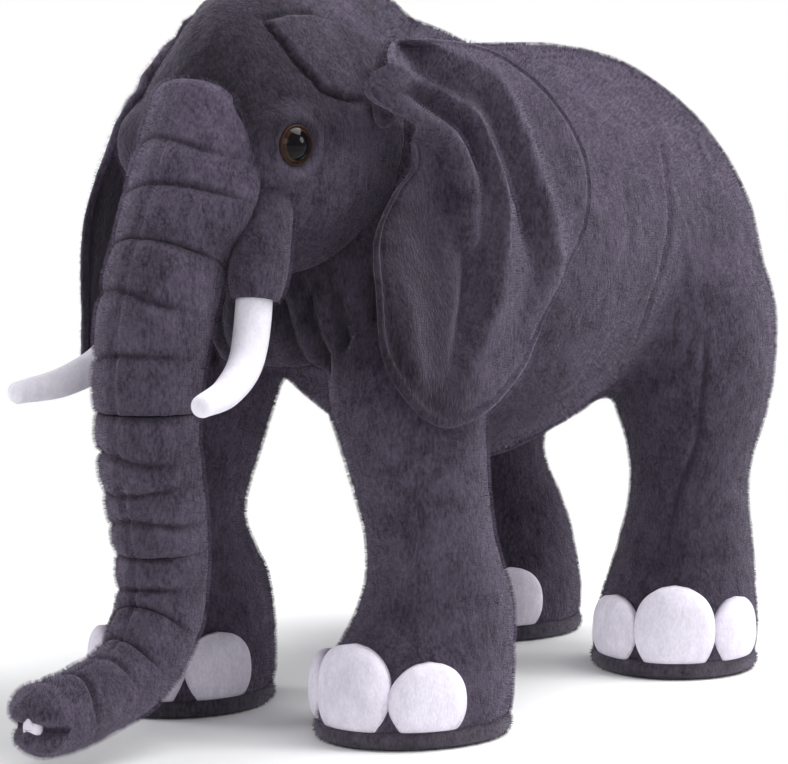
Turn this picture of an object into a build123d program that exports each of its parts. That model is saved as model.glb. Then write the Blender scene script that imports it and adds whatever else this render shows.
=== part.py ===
from build123d import *
import math
import os

# A standing stuffed elephant with a jointed trunk, ears that flap and a tail that wags.
# Millimetres. +Z is up and the floor is z = 0. The elephant faces -Y, so its left side is +X.
# The origin is on the floor under the middle of its length. Each soft part is a skin with a fill inside it.

# ---- driving dimensions -------------------------------------------------------------------------
SKIN = 3.0            # plush backing and pile, pressed
SEAT = 0.3            # air between a skin and its fill, and round what is pushed into a fill
JOINT_GAP = 0.6       # air between two bodies at a bend
SOLE = 8.0            # padded sole pad under each foot
BOARD = 2.5           # stiff insole board
FRONT_FOOT = (100.0, -103.0)
HIND_LEFT_FOOT = (100.0, 234.0)
HIND_RIGHT_FOOT = (-100.0, 292.0)
ROD_R = 2.5           # steel standing frame
SPINE_Z = 290.0

# y, centre height, half width, half height
TORSO = [
    (-152, 300, 26, 30),
    (-138, 306, 66, 56),
    (-105, 330, 98, 86),
    (-55, 350, 121, 124),
    (0, 338, 134, 145),
    (60, 314, 141, 149),
    (120, 318, 142, 146),
    (180, 327, 140, 138),
    (240, 328, 138, 131),
    (290, 317, 128, 119),
    (330, 303, 104, 100),
    (356, 293, 72, 74),
    (370, 286, 34, 36),
]
HEAD = [
    (-224, 400, 24, 26),
    (-215, 401, 48, 52),
    (-196, 404, 68, 76),
    (-165, 408, 82, 96),
    (-120, 410, 90, 106),
    (-65, 408, 91, 107),
    (-10, 402, 86, 96),
    (25, 396, 72, 78),
]
# trunk centre line: y, z, radius
TRUNK = [
    (-190, 436, 37),
    (-212, 402, 39),
    (-228, 362, 40),
    (-241, 327, 39),
    (-252, 288, 38),
    (-260, 244, 35.5),
    (-260, 205, 33.5),
    (-252, 164, 32),
    (-246, 124, 30),
    (-252, 86, 28),
    (-277, 56, 26),
    (-318, 43, 24.5),
    (-358, 37, 23),
    (-376, 37, 19),
    (-384, 37, 10),
]
TRUNK_PIVOTS = [0.315, 0.515, 0.693]     # share of the trunk's centre line from its root
# z, outward, backward, half width, half length, of a leg about its foot's centre
FRONT_LEG = [
    (SOLE, 0, 0, 60, 72),
    (28, 0, 2, 61, 73),
    (55, 2, 11, 57, 64),
    (85, 5, 21, 51, 54),
    (130, 8, 10, 43, 44),
    (180, -2, 8, 47, 48),
    (232, -13, 10, 52, 54),
    (266, -19, 18, 47, 48),
    (300, -26, 32, 38, 36),
]
HIND_LEG = [
    (SOLE, 0, 0, 60, 70),
    (28, 0, 2, 61, 71),
    (55, 0, 8, 57, 62),
    (90, 2, 12, 50, 52),
    (150, 12, 2, 44, 45),
    (200, 10, 7, 57, 61),
    (250, 4, 11, 66, 74),
    (290, -2, 12, 66, 74),
    (330, -20, 8, 50, 56),
]
LEGS = {
    "front_left": (FRONT_FOOT, FRONT_LEG, -4.0),
    "front_right": ((-FRONT_FOOT[0], FRONT_FOOT[1]), FRONT_LEG, 14.0),
    "hind_left": (HIND_LEFT_FOOT, HIND_LEG, 32.0),
    "hind_right": (HIND_RIGHT_FOOT, HIND_LEG, -6.0),
}
# angle round the foot, half width, half height and centre height of each nail
NAILS = [(-48.0, 22.0, 25.0, 33.0), (0.0, 27.0, 29.0, 37.0), (48.0, 22.0, 25.0, 33.0)]
NAIL_CORE = 16.0          # half depth of the padded lump, most of it inside the foot's outline
NAIL_PROUD = 7.0

EAR_PLANE = Plane(origin=(134, -90, 350), x_dir=(0.22, 1, 0), z_dir=(1, -0.22, 0.15))
EAR_OUTLINE = [
    (-56, 114), (-18, 117), (44, 109), (94, 76), (119, 30), (112, -10), (80, -48),
    (32, -108), (-12, -136), (-40, -139), (-70, -114), (-86, -66), (-88, -16), (-84, 34), (-74, 84),
]
EAR_REACH = 115.0         # typical distance from the ear's middle to its rim
EAR_THICK = 13.0
EAR_AXIS_TOP = Vector(94.5, -130, 462)
EAR_AXIS_BOTTOM = Vector(103, -151, 385)
EAR_ROOT_R = 11.0

TUSK = [(51, -212, 322, 11.5), (53, -216, 290, 13), (58, -230, 257, 12.5), (68, -262, 239, 11), (79, -304, 232, 8.5)]
POUCH = [(46, -186, 378, 15), (50, -199, 345, 17.5), (53, -213, 304, 17.5)]
EYE_AT = Vector(71, -193, 398)
EYE_AZIMUTH = 65.0        # degrees from straight ahead
EYE_R = 12.5
EYE_DOME = 7.0
SHANK_R = 2.5
SHANK = 17.0
WASHER_R = 11.0
NOSTRIL_AT = (0, -382, 37)
TAIL = [(352, 394, 9), (373, 352, 9), (384, 305, 8), (386, 246, 7)]
TUFT = [(386, 243, 7), (386, 226, 11), (385, 205, 10), (384, 186, 5)]


# ---- shape helpers ------------------------------------------------------------------------------
def loft_along_y(stations, inset=0.0):
    """A lengthwise body through elliptical sections, drawn in by inset all round."""
    faces = []
    last = len(stations) - 1
    for i, (y, z, half_w, half_h) in enumerate(stations):
        end = inset if i == 0 else -inset if i == last else 0.0
        section = Plane(origin=(0, y + end, z), x_dir=(1, 0, 0), z_dir=(0, 1, 0))
        faces.append(section * Ellipse(half_w - inset, half_h - inset))
    return loft(faces)


def loft_up(stations, foot, turn, side, inset=0.0):
    """A leg through level elliptical sections about its foot's centre."""
    faces = []
    for z, out, back, half_w, half_l in stations:
        level = Plane(origin=(foot[0] + side * out, foot[1] + back, z)).rotated((0, 0, turn))
        faces.append(level * Ellipse(half_w - inset, half_l - inset))
    return loft(faces)


def tube_through(points, radii, inset=0.0):
    """A round tube whose sections stand square to a smooth line through points."""
    line = Spline(*points)
    faces = []
    for point, radius in zip(points, radii):
        share = line.param_at_point(point)
        square = Plane(origin=point, z_dir=line % share)
        faces.append(square * Circle(radius - inset))
    return loft(faces)


def ball(centre, radius):
    return Pos(*centre) * Sphere(radius)


def mirrored(shape):
    """The same piece on the elephant's other side."""
    return mirror(shape, about=Plane.YZ)


def ellipsoid(half_x, half_y, half_z):
    return scale(Sphere(1.0), by=(half_x, half_y, half_z))


# ---- standing frame -----------------------------------------------------------------------------
def rod(a, b, radius=ROD_R):
    a, b = Vector(*a), Vector(*b)
    return Plane(origin=a, z_dir=b - a) * Cylinder(
        radius, (b - a).length, align=(Align.CENTER, Align.CENTER, Align.MIN)
    )


def leg_rod_ends():
    """The foot end and the shoulder end of each leg's rod."""
    ends = {}
    for name, (foot, stations, _) in LEGS.items():
        side = 1 if foot[0] > 0 else -1
        z, out, back, *_ = stations[-1]
        ends[name] = (
            (foot[0] + side * 3, foot[1] + 12, SOLE + BOARD + SEAT),
            (foot[0] + side * out, foot[1] + back, SPINE_Z),
        )
    return ends


def wire_frame(radius=ROD_R):
    ends = leg_rod_ends()
    frame = Part()
    for foot_end, top_end in ends.values():
        frame += rod(foot_end, top_end, radius) + ball(top_end, radius)
    front = [ends["front_left"][1], ends["front_right"][1]]
    hind = [ends["hind_left"][1], ends["hind_right"][1]]
    frame += rod(*front, radius) + rod(*hind, radius)
    middles = [tuple((a + b) / 2 for a, b in zip(*pair)) for pair in (front, hind)]
    return frame + rod(*middles, radius)


# ---- trunk --------------------------------------------------------------------------------------
def trunk_points():
    return [(0, y, z) for y, z, _ in TRUNK]


def trunk_tube(inset=0.0):
    return tube_through(trunk_points(), [r for _, _, r in TRUNK], inset)


def trunk_pivots():
    """Centre, direction and ball radius of each bend."""
    line = Spline(*trunk_points())
    found = []
    for share in TRUNK_PIVOTS:
        centre = line @ share
        near = min(TRUNK, key=lambda s: (s[0] - centre.Y) ** 2 + (s[1] - centre.Z) ** 2)
        found.append((centre, line % share, near[2] * 1.09))
    return found


def trunk_segments():
    """The trunk cut at its bends. Each lower length starts with a ball that turns in the one above."""
    rest = trunk_tube()
    segments = []
    for centre, direction, radius in trunk_pivots():
        cut = Plane(origin=centre, z_dir=direction)
        upper = split(rest, bisect_by=cut, keep=Keep.BOTTOM)
        lower = split(rest, bisect_by=cut, keep=Keep.TOP)
        centre = tuple(centre)
        segments.append(upper - ball(centre, radius + JOINT_GAP))
        rest = lower + (upper & ball(centre, radius))
    return segments + [rest]


def nostril_lining(grow=0.0):
    """The pale pad in the notch at the trunk's tip."""
    return Pos(*NOSTRIL_AT) * ellipsoid(7.5 + grow, 6.0 + grow, 9.0 + grow)


# ---- ears, tusks, eyes, tail --------------------------------------------------------------------
def ear_flap(inset=0.0):
    """The padded flap of the left ear."""
    shrink = 1 - inset / EAR_REACH
    outline = Spline(*[(x * shrink, y * shrink) for x, y in EAR_OUTLINE], periodic=True)
    return extrude(EAR_PLANE * make_face(outline), EAR_THICK / 2 - inset, both=True)


def ear_root():
    """The gathered seam allowance at the root, round about the line that the ear swings on."""
    return rod(EAR_AXIS_TOP, EAR_AXIS_BOTTOM, EAR_ROOT_R)


def tusk(grow=0.0):
    body = tube_through([p[:3] for p in TUSK], [p[3] for p in TUSK], -grow)
    return body + ball(TUSK[-1][:3], TUSK[-1][3] + grow)


def pouch():
    return tube_through([p[:3] for p in POUCH], [p[3] for p in POUCH]) + ball(POUCH[0][:3], POUCH[0][3])


def eye_plane():
    turn = math.radians(EYE_AZIMUTH)
    return Plane(origin=EYE_AT, z_dir=(math.sin(turn), -math.cos(turn), 0))


def eye():
    """A moulded safety eye: a dome with a shank that goes through the skin."""
    radius = (EYE_R ** 2 + EYE_DOME ** 2) / (2 * EYE_DOME)
    whole = Pos(0, 0, EYE_DOME - radius) * Sphere(radius)
    dome = split(whole, bisect_by=Plane.XY, keep=Keep.TOP)
    shank = Cylinder(SHANK_R, SHANK, align=(Align.CENTER, Align.CENTER, Align.MAX))
    return eye_plane() * (dome + shank)


def eye_hole():
    """What the eye and its washer take out of the head."""
    face = Cylinder(EYE_R + SEAT, 40, align=(Align.CENTER, Align.CENTER, Align.MIN))
    shank = Cylinder(SHANK_R + SEAT, SHANK + 1, align=(Align.CENTER, Align.CENTER, Align.MAX))
    return eye_plane() * (face + shank)


def washer(grow=0.0):
    disc = Cylinder(WASHER_R + grow, 2.4 + 2 * grow) - Cylinder(SHANK_R + 0.05, 10)
    return eye_plane() * (Pos(0, 0, 3 - SHANK) * disc)


def tail():
    points = [(0, y, z) for y, z, _ in TAIL]
    return tube_through(points, [r for _, _, r in TAIL]) + ball(points[0], TAIL[0][2])


def tail_tuft():
    points = [(0, y, z) for y, z, _ in TUFT]
    return tube_through(points, [r for _, _, r in TUFT]) - tail()


# ---- feet ---------------------------------------------------------------------------------------
def foot_plane(name, z):
    foot, _, turn = LEGS[name]
    return Plane(origin=(foot[0], foot[1], z)).rotated((0, 0, turn))


def sole_pad(name):
    stations = LEGS[name][1]
    pad = foot_plane(name, 0) * extrude(Ellipse(stations[0][3], stations[0][4]), SOLE)
    return fillet(pad.edges().group_by(Axis.Z)[0], SOLE * 0.45)


def sole_board(name):
    stations = LEGS[name][1]
    inner = SKIN + SEAT + 1
    return foot_plane(name, SOLE) * extrude(Ellipse(stations[0][3] - inner, stations[0][4] - inner), BOARD)


def toenails(name, leg):
    """Three padded nails round the front of a foot, cut to sit on its skin."""
    half_w, half_l = LEGS[name][1][1][3:]
    nails = []
    for angle, nail_w, nail_h, z in NAILS:
        turn = math.radians(angle)
        back = NAIL_CORE - NAIL_PROUD
        at = ((half_w - back) * math.sin(turn), -(half_l - back) * math.cos(turn), 0)
        lump = Rot(0, 0, angle) * ellipsoid(nail_w, NAIL_CORE, nail_h)
        nails.append(foot_plane(name, z) * (Pos(*at) * lump) - leg)
    outer = [nails[0] - nails[1], nails[1], nails[2] - nails[1]]
    return [max(n.solids(), key=lambda s: s.volume) for n in outer]


# ---- assembly -----------------------------------------------------------------------------------
def build():
    torso_out, torso_in = loft_along_y(TORSO), loft_along_y(TORSO, SKIN)
    torso_core = loft_along_y(TORSO, SKIN + SEAT)
    head_out, head_in = loft_along_y(HEAD), loft_along_y(HEAD, SKIN)
    head_core = loft_along_y(HEAD, SKIN + SEAT)
    segments = trunk_segments()
    trunk_in, trunk_core = trunk_tube(SKIN), trunk_tube(SKIN + SEAT)
    frame, frame_room = wire_frame(), wire_frame(ROD_R + SEAT)
    parts = {"wire_frame": frame}

    leg_bores = Part()
    for name, (foot, stations, turn) in LEGS.items():
        side = 1 if foot[0] > 0 else -1
        leg = loft_up(stations, foot, turn, side)
        bore = loft_up(stations, foot, turn, side, SKIN)
        core = loft_up(stations, foot, turn, side, SKIN + SEAT)
        board = sole_board(name)
        parts[f"leg_skin_{name}"] = leg - torso_out - bore
        floor_room = foot_plane(name, 0) * extrude(Ellipse(90, 90), SOLE + BOARD + SEAT)
        parts[f"leg_fill_{name}"] = core - torso_in - floor_room - frame_room
        parts[f"sole_pad_{name}"] = sole_pad(name)
        parts[f"sole_board_{name}"] = board
        parts[f"toenails_{name}"] = Compound(toenails(name, leg))
        leg_bores += bore

    eyes_room = eye_hole() + mirrored(eye_hole())
    washers_room = washer(SEAT) + mirrored(washer(SEAT))
    parts["torso_skin"] = torso_out - torso_in - leg_bores - head_out
    parts["torso_fill"] = torso_core - head_out - frame_room
    parts["head_skin"] = head_out - head_in - eyes_room - segments[0]
    parts["head_fill"] = head_core - eyes_room - washers_room - segments[0]

    names = ["root", "upper", "middle", "tip"]
    for name, segment in zip(names, segments):
        parts[f"trunk_skin_{name}"] = segment - trunk_in
        parts[f"trunk_fill_{name}"] = segment & trunk_core
    parts["nostril_lining"] = nostril_lining()
    parts["trunk_skin_tip"] -= nostril_lining(SEAT)
    parts["trunk_fill_tip"] -= nostril_lining(SEAT)

    left_pouch = pouch() - head_out - segments[0] - tusk(SEAT)
    parts["tusk_pouch_left"] = left_pouch
    parts["tusk_left"] = tusk()
    parts["eye_left"] = eye()
    parts["eye_washer_left"] = washer()
    parts["ear_skin_left"] = ear_flap() + ear_root() - ear_flap(SKIN)
    parts["ear_wadding_left"] = ear_flap(SKIN + SEAT)
    for name in [n for n in parts if n.endswith("_left") and "leg" not in n and "sole" not in n and "toe" not in n]:
        parts[name.replace("_left", "_right")] = mirrored(parts[name])
    parts["tail"] = tail()
    parts["tail_tuft"] = tail_tuft()
    return parts


os.makedirs("parts", exist_ok=True)
for node, shape in build().items():
    export_step(shape, f"parts/{node}.step")
for centre, direction, radius in trunk_pivots():
    print("trunk pivot", [round(v, 2) for v in centre], "ball radius", round(radius, 2))
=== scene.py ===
import math
import bmesh
import bpy
import numpy as np
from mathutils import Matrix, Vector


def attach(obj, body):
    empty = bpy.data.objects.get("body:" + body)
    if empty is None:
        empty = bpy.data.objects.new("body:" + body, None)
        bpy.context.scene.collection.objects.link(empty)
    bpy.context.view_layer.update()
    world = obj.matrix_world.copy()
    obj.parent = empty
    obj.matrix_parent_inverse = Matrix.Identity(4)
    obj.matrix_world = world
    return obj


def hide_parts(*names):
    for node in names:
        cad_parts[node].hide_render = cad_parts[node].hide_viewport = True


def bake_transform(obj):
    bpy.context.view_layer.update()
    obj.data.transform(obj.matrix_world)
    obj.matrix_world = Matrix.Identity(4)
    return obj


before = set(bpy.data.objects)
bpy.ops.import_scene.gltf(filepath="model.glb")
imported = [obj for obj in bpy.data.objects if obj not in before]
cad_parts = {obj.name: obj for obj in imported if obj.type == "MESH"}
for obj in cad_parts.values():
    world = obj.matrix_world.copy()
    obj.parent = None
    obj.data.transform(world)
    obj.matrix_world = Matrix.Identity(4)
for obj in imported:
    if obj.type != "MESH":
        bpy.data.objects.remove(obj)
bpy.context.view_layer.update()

# Working lengths are millimetres in the row frame; the meshes are made in metres.
MM = 0.001
X, Y, Z = np.eye(3)
VOXEL = 5.0           # grid on which overlapping forms are joined into one skin
SOFT_ROUNDS = 45      # passes of easing where a join has to disappear


# ---- curves and grids ---------------------------------------------------------------------------
def curve_through(knots, rows, at):
    """Smooth rows of numbers over knots, read at the places in at."""
    knots, rows, at = (np.asarray(v, float) for v in (knots, rows, at))
    slope = np.gradient(rows, knots, axis=0)
    i = np.clip(np.searchsorted(knots, at, side="right") - 1, 0, len(knots) - 2)
    h = (knots[i + 1] - knots[i])[:, None]
    t = (at - knots[i])[:, None] / h
    a, b, ma, mb = rows[i], rows[i + 1], slope[i] * h, slope[i + 1] * h
    t2, t3 = t * t, t * t * t
    return (2 * t3 - 3 * t2 + 1) * a + (t3 - 2 * t2 + t) * ma + (3 * t2 - 2 * t3) * b + (t3 - t2) * mb


def polyline(points, count=60):
    """Points joined by a smooth curve, cut into count points."""
    points = np.asarray(points, float)
    step = np.linalg.norm(np.diff(points[:, :3], axis=0), axis=1)
    knots = np.r_[0, np.cumsum(step)]
    return curve_through(knots, points, np.linspace(0, knots[-1], count))


def gauss(d, width):
    return np.exp(-((d / width) ** 2))


def ramp(x, low, high):
    """0 below low, 1 above high, smooth between."""
    t = np.clip((x - low) / (high - low), 0, 1)
    return t * t * (3 - 2 * t)


def distance_to(points, line):
    """How far each point is from a polyline, and the share of the line's length where it is nearest."""
    best = np.full(len(points), 1e9)
    share = np.zeros(len(points))
    last = len(line) - 1
    for i in range(last):
        a, b = line[i], line[i + 1]
        ab = b - a
        t = np.clip(((points - a) @ ab) / max(ab @ ab, 1e-12), 0, 1)
        d = np.linalg.norm(points - a - t[:, None] * ab, axis=1)
        near = d < best
        best[near] = d[near]
        share[near] = (i + t[near]) / last
    return best, share


def side_of(x, y, line):
    """Distance in the plane from a directed line, above 0 on its left and below 0 on its right."""
    p = np.c_[x, y]
    best = np.full(len(p), 1e9)
    sign = np.ones(len(p))
    for a, b in zip(line[:-1], line[1:]):
        ab = b - a
        t = np.clip(((p - a) @ ab) / max(ab @ ab, 1e-12), 0, 1)
        gap = p - a - t[:, None] * ab
        d = np.hypot(gap[:, 0], gap[:, 1])
        near = d < best - 1e-9
        best[near] = d[near]
        turn = ab[0] * (p[:, 1] - a[1]) - ab[1] * (p[:, 0] - a[0])
        sign[near] = np.where(turn[near] >= 0, 1, -1)
    return best * sign


# value noise on a lattice, the same in every run
RNG = np.random.default_rng(7)
LATTICE = RNG.random((32, 32, 32))


def lump_noise(points, size):
    """Smooth noise from -1 to 1 with lumps about size millimetres across."""
    p = points / size
    i = np.floor(p).astype(int)
    f = p - i
    f = f * f * (3 - 2 * f)
    total = 0
    for dx in (0, 1):
        for dy in (0, 1):
            for dz in (0, 1):
                w = 1
                for k, d in enumerate((dx, dy, dz)):
                    w = w * (f[:, k] if d else 1 - f[:, k])
                corner = LATTICE[(i[:, 0] + dx) % 32, (i[:, 1] + dy) % 32, (i[:, 2] + dz) % 32]
                total = total + w * corner
    return total * 2 - 1


# ---- meshes -------------------------------------------------------------------------------------
def link(name, mesh):
    obj = bpy.data.objects.new(name, mesh)
    bpy.context.scene.collection.objects.link(obj)
    return obj


def mesh_object(name, points, faces):
    mesh = bpy.data.meshes.new(name)
    mesh.from_pydata((np.asarray(points, float) * MM).tolist(), [], [tuple(map(int, f)) for f in faces])
    work = bmesh.new()
    work.from_mesh(mesh)
    bmesh.ops.recalc_face_normals(work, faces=work.faces)
    work.to_mesh(mesh)
    work.free()
    mesh.polygons.foreach_set("use_smooth", [True] * len(mesh.polygons))
    mesh.update()
    return link(name, mesh)


def ring_faces(n, m):
    """Quads of a closed tube of n rings of m points, and a fan at each end."""
    faces = []
    for i in range(n - 1):
        for j in range(m):
            k = (j + 1) % m
            faces.append((i * m + j, i * m + k, (i + 1) * m + k, (i + 1) * m + j))
    start, end = n * m, n * m + 1
    for j in range(m):
        k = (j + 1) % m
        faces.append((start, k, j))
        faces.append((end, (n - 1) * m + j, (n - 1) * m + k))
    return faces


def ring_object(name, rings):
    n, m, _ = rings.shape
    points = np.vstack([rings.reshape(-1, 3), rings[0].mean(0), rings[-1].mean(0)])
    return mesh_object(name, points, ring_faces(n, m))


def read(obj):
    """Points in millimetres and unit normals of an object's mesh."""
    count = len(obj.data.vertices)
    co, no = np.empty(count * 3), np.empty(count * 3)
    obj.data.vertices.foreach_get("co", co)
    obj.data.vertices.foreach_get("normal", no)
    return co.reshape(-1, 3) / MM, no.reshape(-1, 3)


def write(obj, points):
    obj.data.vertices.foreach_set("co", (points * MM).ravel())
    obj.data.update()


def apply_modifiers(obj):
    graph = bpy.context.evaluated_depsgraph_get()
    graph.update()
    mesh = bpy.data.meshes.new_from_object(obj.evaluated_get(graph))
    old = obj.data
    obj.modifiers.clear()
    obj.data = mesh
    bpy.data.meshes.remove(old)
    obj.data.polygons.foreach_set("use_smooth", [True] * len(obj.data.polygons))
    obj.data.update()


def soften(obj, weight, rounds):
    """Eases a mesh where weight(points) is above 0."""
    edges = np.empty(len(obj.data.edges) * 2, int)
    obj.data.edges.foreach_get("vertices", edges)
    a, b = edges.reshape(-1, 2).T
    co, _ = read(obj)
    share = weight(co)[:, None] * 0.6
    count = np.bincount(np.r_[a, b], minlength=len(co))[:, None]
    for _ in range(rounds):
        near = [np.bincount(np.r_[a, b], np.r_[co[b, k], co[a, k]], len(co)) for k in range(3)]
        total = np.stack(near, axis=1)
        co += (total / count - co) * share
    write(obj, co)


def fused(name, parts, smooth, soft=None):
    """One skin round several overlapping forms, with the joins eased."""
    all_points, all_faces, base = [], [], 0
    for part in parts:
        co, _ = read(part)
        all_points.append(co)
        all_faces += [tuple(base + v for v in p.vertices) for p in part.data.polygons]
        base += len(co)
        bpy.data.objects.remove(part)
    obj = mesh_object(name, np.vstack(all_points), all_faces)
    remesh = obj.modifiers.new("skin", "REMESH")
    remesh.mode = "VOXEL"
    remesh.voxel_size = VOXEL * MM
    ease = obj.modifiers.new("ease", "SMOOTH")
    ease.factor = 0.5
    ease.iterations = smooth
    apply_modifiers(obj)
    if soft:
        soften(obj, soft, SOFT_ROUNDS)
    finer = obj.modifiers.new("finer", "SUBSURF")
    finer.levels = finer.render_levels = 1
    apply_modifiers(obj)
    return obj


def section_ring(centre, across, up, half_w, half_h, count, power=2.0, egg=0.0):
    """A closed oval of points. Its lower half gets squarer as power rises, its top narrower as egg rises."""
    a = np.linspace(0, 2 * math.pi, count, endpoint=False)
    c, s = np.cos(a), np.sin(a)
    e = np.where(s < 0, 2 / power, 1.0)
    c, s = np.sign(c) * np.abs(c) ** e, np.sign(s) * np.abs(s) ** e
    c = c * (1 - egg * np.clip(s, 0, 1))
    return centre + np.outer(half_w * c, across) + np.outer(half_h * s, up)


def lengthwise(name, stations, count=70, around=72, power=2.0, egg=0.0):
    rows = np.asarray(stations, float)
    at = np.linspace(rows[0, 0], rows[-1, 0], count)
    body = curve_through(rows[:, 0], rows[:, 1:], at)
    rings = [
        section_ring(np.array([0, y, z]), X, Z, w, h, around, power, egg) for y, (z, w, h) in zip(at, body)
    ]
    return ring_object(name, np.array(rings))


def upright(name, stations, foot, turn, count=60, around=64):
    rows = np.asarray(stations, float)
    side = 1 if foot[0] > 0 else -1
    at = np.linspace(rows[0, 0], rows[-1, 0], count)
    body = curve_through(rows[:, 0], rows[:, 1:], at)
    c, s = math.cos(math.radians(turn)), math.sin(math.radians(turn))
    across, along = np.array([c, s, 0]), np.array([-s, c, 0])
    rings = []
    for z, (out, back, w, l) in zip(at, body):
        centre = np.array([foot[0] + side * out, foot[1] + back, z])
        rings.append(section_ring(centre, across, along, w, l, around))
    return ring_object(name, np.array(rings))


def tube(name, line, radii, around=40, flat=None):
    """A tube along a smooth 3-D line. flat widens it to one side."""
    line = np.asarray(line, float)
    t = np.gradient(line, axis=0)
    t /= np.linalg.norm(t, axis=1)[:, None]
    side = np.cross(t, Y + 0.3 * X)
    side /= np.linalg.norm(side, axis=1)[:, None]
    up = np.cross(t, side)
    rings = [section_ring(p, u, s, r, r * (flat or 1), around) for p, u, s, r in zip(line, up, side, radii)]
    return ring_object(name, np.array(rings))


def set_tone(obj, values):
    """Brightness of the pile at each vertex, painted shade below 1 and painted light above it, 1 where it is
    plain, kept as half of itself in a byte colour.
    The strands are shorter where it is darker."""
    mesh = obj.data
    values = np.clip(np.asarray(values, float), 0.05, 2.0)
    layer = mesh.color_attributes.get("tone") or mesh.color_attributes.new("tone", "BYTE_COLOR", "CORNER")
    corner = np.empty(len(mesh.loops), int)
    mesh.loops.foreach_get("vertex_index", corner)
    half = (values / 2)[corner]
    layer.data.foreach_set("color", np.c_[half, half, half, np.ones_like(half)].astype(np.float32).ravel())
    group = obj.vertex_groups.get("pile_length") or obj.vertex_groups.new(name="pile_length")
    steps = np.clip(np.round(np.clip(values, 0.35, 1.0) * 10), 3, 10).astype(int)
    for step in range(3, 11):
        group.add(np.flatnonzero(steps == step).tolist(), step / 10, "REPLACE")


# ---- plush helpers ------------------------------------------------------------------------------
def crease(points, normals, line, depth, width, puff=0.0, fade=0.15):
    """Sinks a sewn line into a padded surface and swells what lies beside it."""
    d, share = distance_to(points, line)
    ends = ramp(share, -0.001, fade) * (1 - ramp(share, 1 - fade, 1.001)) if fade else 1.0
    move = (-depth * gauss(d, width) + puff * gauss(d - 3.2 * width, 2.2 * width)) * ends
    return points + normals * move[:, None], gauss(d, width * 1.3) * ends


def pile_lumps(points, normals, height=0.5):
    """The clumps that short pile falls into."""
    fine = lump_noise(points, 5.0) * 0.6 + lump_noise(points + 41.0, 11.0) * 0.8
    fine = fine + lump_noise(points + 11.0, 34.0) * 1.2
    return points + normals * (fine * height)[:, None]


PILE_SEED = 3


def add_pile(obj, per_square_metre, length, radius, material):
    """Stands short pile on a skin."""
    obj.data.materials.append(material)
    area = sum(p.area for p in obj.data.polygons)
    system = obj.modifiers.new("pile", "PARTICLE_SYSTEM").particle_system
    system.seed = PILE_SEED
    rules = system.settings
    rules.type = "HAIR"
    rules.count = int(area * per_square_metre)
    rules.hair_length = length
    rules.hair_step = rules.render_step = 3
    rules.display_step = 2
    rules.emit_from = "FACE"
    rules.use_emit_random = True
    rules.root_radius = 1.0
    rules.tip_radius = 0.3
    rules.radius_scale = radius
    rules.child_type = "NONE"
    rules.material = len(obj.data.materials)
    system.vertex_group_length = "pile_length"


# ---- materials ----------------------------------------------------------------------------------
def node(tree, kind, **values):
    n = tree.nodes.new(kind)
    for key, value in values.items():
        if key in n.inputs:
            n.inputs[key].default_value = value
        else:
            setattr(n, key, value)
    return n


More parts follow.
